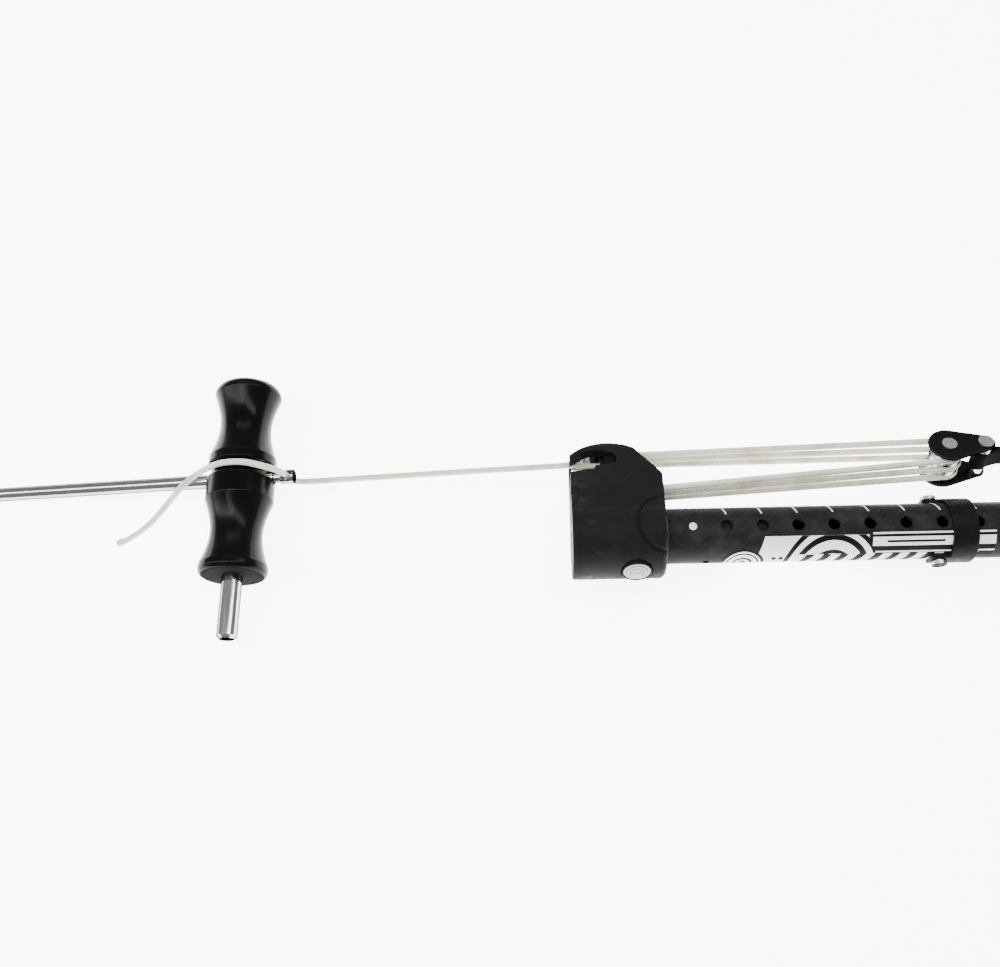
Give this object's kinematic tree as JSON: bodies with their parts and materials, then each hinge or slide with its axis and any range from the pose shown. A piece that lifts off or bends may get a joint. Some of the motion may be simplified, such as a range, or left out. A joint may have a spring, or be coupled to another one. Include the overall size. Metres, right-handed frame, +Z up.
{
  "type": "windsurf downhaul winch rig",
  "caption": "T-shaped winch handle with a lever rod, on the tail of a multi-part downhaul line that runs through a sheaved, cleated mast base with its tube and a tack block.",
  "frame": {"origin": "mouth of the mast-foot socket, on the axis of the mast tube", "axes": "+X along the mast tube, away from the socket; +Y towards the sheave head, across the tube; +Z up from the surface that the rig lies on"},
  "size_m": [0.7719, 0.16, 0.048],
  "materials": {
    "housing_black": "satin, scuffed",
    "badge_grey": "gloss",
    "steel": "satin",
    "polished_steel": "polished",
    "cleat_aluminium": "satin",
    "sheave_aluminium": "polished",
    "sheave_nylon": "satin",
    "carbon": "satin laminate",
    "spigot_grey": "satin",
    "rivet_white": "satin",
    "collar_black": "satin",
    "cheek_black": "anodised satin",
    "strap_black": "woven",
    "handle_black": "satin gloss",
    "line_cream": "braided"
  },
  "bodies": {
    "root": {"base_housing": "housing_black", "socket_liner": "steel", "button_spring": "steel", "sheave_axle": "steel", "axle_washers": "steel", "line_cleat": "cleat_aluminium", "cleat_screws": "steel", "tube_spigot": "spigot_grey", "mast_tube": "carbon", "spigot_rivets": "rivet_white", "tube_ring": "spigot_grey", "tube_end_plug": "collar_black", "height_collar": "collar_black", "upper_strands": "line_cream", "lower_strands": "line_cream", "base_turns": "line_cream", "stopper_knot": "line_cream", "exit_line": "line_cream", "lead_line": "line_cream"},
    "release": {"latch_plate": "steel", "release_button": "housing_black", "button_badge": "badge_grey"},
    "base_sheave_1": {"base_sheave_1": "sheave_nylon"},
    "base_sheave_2": {"base_sheave_2": "sheave_nylon"},
    "exit_roller": {"exit_roller": "sheave_nylon"},
    "collar_pin_front": {"collar_pin_front": "steel"},
    "collar_pin_back": {"collar_pin_back": "steel"},
    "tack_block": {"block_cheeks": "cheek_black", "block_axle": "steel", "block_head_pin": "steel", "block_spacers": "cheek_black", "tack_strap": "strap_black", "block_turns": "line_cream"},
    "tack_sheave_1": {"tack_sheave_1": "sheave_aluminium"},
    "tack_sheave_2": {"tack_sheave_2": "sheave_aluminium"},
    "tack_sheave_3": {"tack_sheave_3": "sheave_aluminium"},
    "line_end": {"lead_end": "line_cream"},
    "handle": {"handle_drum": "handle_black", "lever_rod": "polished_steel", "foot_pin": "polished_steel", "drum_turn": "line_cream", "line_tail": "line_cream"}
  },
  "joints": [
    {"name": "line_haul", "type": "slide", "parent": "root", "child": "line_end", "axis": [-1, 0, 0], "range_m": [0, 0.6], "deforming": ["lead_line"]},
    {"name": "lever_lift", "type": "hinge", "parent": "line_end", "child": "handle", "pos_m": [-0.1975, 0.0435, -0.0038], "axis": [0, 1, 0], "range_deg": [0, 30], "deforming": ["lead_end"]},
    {"name": "block_travel", "type": "slide", "parent": "root", "child": "tack_block", "axis": [-0.9991, -0.0412, 0], "range_m": [0, 0.1], "deforming": ["upper_strands", "lower_strands"]},
    {"name": "base_sheave_1_spin", "type": "hinge", "parent": "root", "child": "base_sheave_1", "pos_m": [0.03, 0.0357, 0], "axis": [0, 0, 1], "continuous": true},
    {"name": "base_sheave_2_spin", "type": "hinge", "parent": "root", "child": "base_sheave_2", "pos_m": [0.03, 0.0357, 0], "axis": [0, 0, 1], "continuous": true},
    {"name": "exit_roller_spin", "type": "hinge", "parent": "root", "child": "exit_roller", "pos_m": [0.03, 0.0357, 0], "axis": [0, 0, 1], "continuous": true},
    {"name": "tack_sheave_1_spin", "type": "hinge", "parent": "tack_block", "child": "tack_sheave_1", "pos_m": [0.219, 0.0435, 0.0035], "axis": [-0.0127, 0.3088, 0.9511], "continuous": true},
    {"name": "tack_sheave_2_spin", "type": "hinge", "parent": "tack_block", "child": "tack_sheave_2", "pos_m": [0.219, 0.0435, 0.0035], "axis": [-0.0127, 0.3088, 0.9511], "continuous": true},
    {"name": "tack_sheave_3_spin", "type": "hinge", "parent": "tack_block", "child": "tack_sheave_3", "pos_m": [0.219, 0.0435, 0.0035], "axis": [-0.0127, 0.3088, 0.9511], "continuous": true},
    {"name": "release_push", "type": "slide", "parent": "root", "child": "release", "axis": [0, 0.9613, -0.2756], "range_m": [0, 0.003], "stiffness_N_per_m": 500, "deforming": ["button_spring"]},
    {"name": "front_pin_pull", "type": "slide", "parent": "root", "child": "collar_pin_front", "axis": [0, -1, 0], "range_m": [0, 0.006]},
    {"name": "back_pin_pull", "type": "slide", "parent": "root", "child": "collar_pin_back", "axis": [0, 1, 0], "range_m": [0, 0.006]}
  ],
  "couplings": [
    {"joint": "block_travel", "follows": "line_haul", "ratio": 0.16667},
    {"joint": "base_sheave_1_spin", "follows": "line_haul", "rad_per_m": 26.042},
    {"joint": "base_sheave_2_spin", "follows": "line_haul", "rad_per_m": 52.083},
    {"joint": "exit_roller_spin", "follows": "line_haul", "rad_per_m": 78.125},
    {"joint": "tack_sheave_1_spin", "follows": "line_haul", "rad_per_m": 21.368},
    {"joint": "tack_sheave_2_spin", "follows": "line_haul", "rad_per_m": 64.103},
    {"joint": "tack_sheave_3_spin", "follows": "line_haul", "rad_per_m": 106.84}
  ]
}
